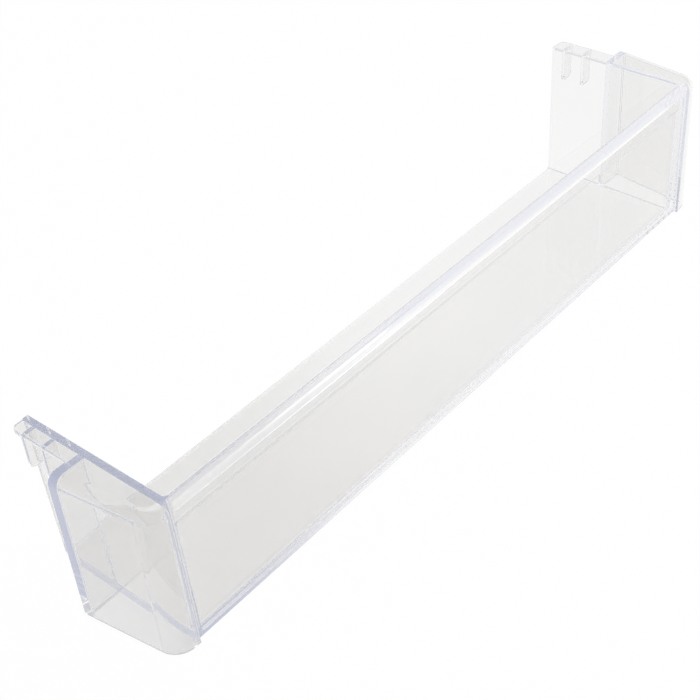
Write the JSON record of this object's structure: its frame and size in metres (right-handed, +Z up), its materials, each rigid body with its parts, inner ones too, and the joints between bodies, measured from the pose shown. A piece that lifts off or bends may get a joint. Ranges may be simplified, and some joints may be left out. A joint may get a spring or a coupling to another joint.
{
  "type": "fridge door shelf",
  "caption": "Clear one-piece fridge door shelf: long tray with a rimmed front wall, open back, tapered hollow end cheeks and ribbed hooks that hang on the door liner.",
  "frame": {"origin": "under the middle of the shelf, on the surface it stands on", "axes": "+X along the length, +Y towards the open back that meets the door, +Z up"},
  "size_m": [0.5018, 0.1014, 0.096],
  "materials": {
    "clear_plastic": "clear polished"
  },
  "bodies": {
    "root": {"door_shelf": "clear_plastic"}
  },
  "joints": []
}
